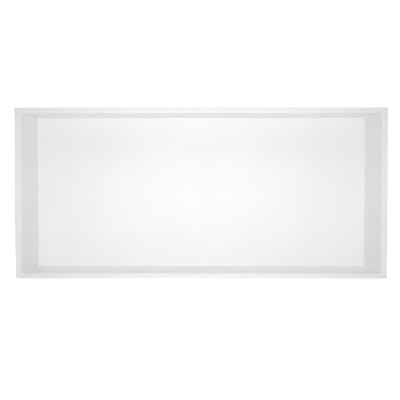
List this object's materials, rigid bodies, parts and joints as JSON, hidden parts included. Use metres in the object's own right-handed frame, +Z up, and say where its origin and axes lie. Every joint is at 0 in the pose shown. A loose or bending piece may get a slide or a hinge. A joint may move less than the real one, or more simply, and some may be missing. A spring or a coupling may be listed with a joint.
{
  "type": "shower niche insert",
  "caption": "Open-fronted rectangular box with a narrow flat rim, cast whole in white solid surface, that sets into a shower wall as a recessed shelf for bottles and soap.",
  "frame": {"origin": "on the underside, in the middle of the width and of the depth", "axes": "+X to the right as seen from the shower, +Y into the wall from the open mouth to the back, +Z up"},
  "size_m": [0.61, 0.1, 0.2795],
  "materials": {
    "solid_surface": "matte"
  },
  "bodies": {
    "root": {"niche_body": "solid_surface"}
  },
  "joints": []
}
